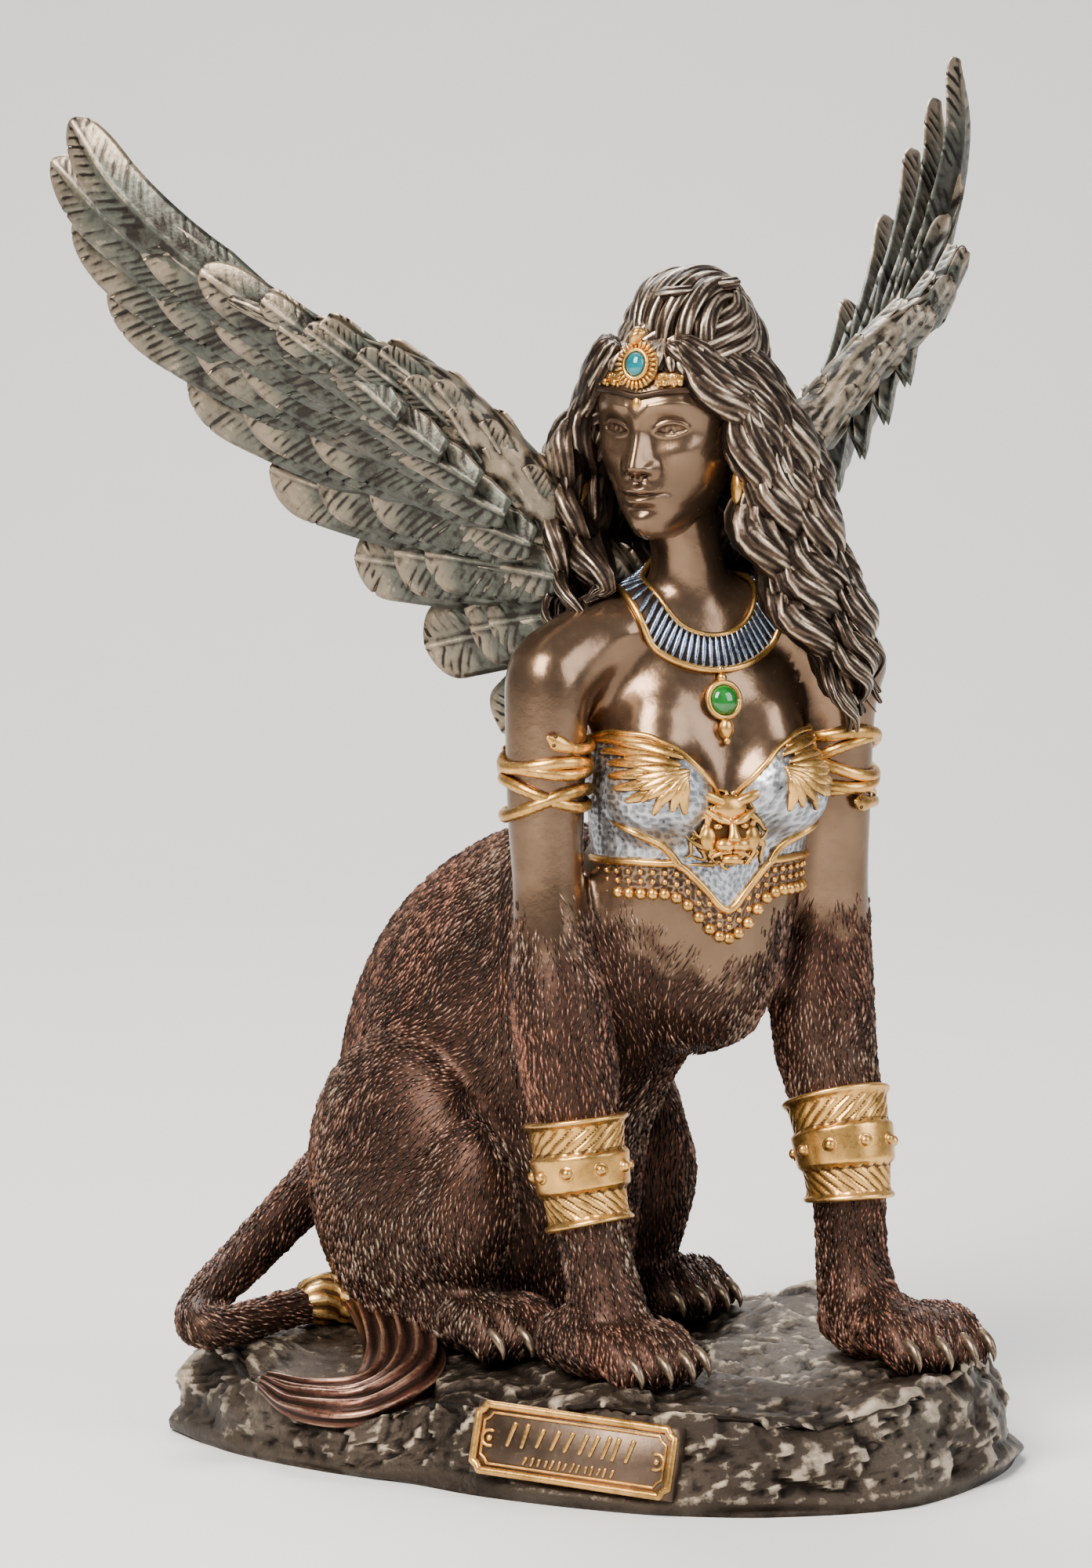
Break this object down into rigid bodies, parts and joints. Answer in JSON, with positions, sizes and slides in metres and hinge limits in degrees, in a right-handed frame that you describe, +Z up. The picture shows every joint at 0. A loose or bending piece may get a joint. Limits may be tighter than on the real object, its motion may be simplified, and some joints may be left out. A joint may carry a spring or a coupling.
{
  "type": "sphinx figurine",
  "caption": "Cast figurine of a seated winged sphinx, with a woman's head, a lion's body and raised wings, on a rock base with a plaque.",
  "frame": {"origin": "middle of the rock base's flat underside, halfway along its length and its width", "axes": "+Z up; the lion's body faces -Y; +X is the figure's left"},
  "size_m": [0.1982, 0.1727, 0.2722],
  "materials": {
    "rock": "cast resin with bronze powder, dark brown patina, ridges rubbed pale",
    "figure": "cast resin with bronze powder, satin brown bronze patina",
    "wings": "cast resin with bronze powder, beige bronze with grey-green hollows"
  },
  "bodies": {
    "root": {"rock_base": "rock", "sphinx_figure": "figure", "wing_left": "wings", "wing_right": "wings"}
  },
  "joints": []
}
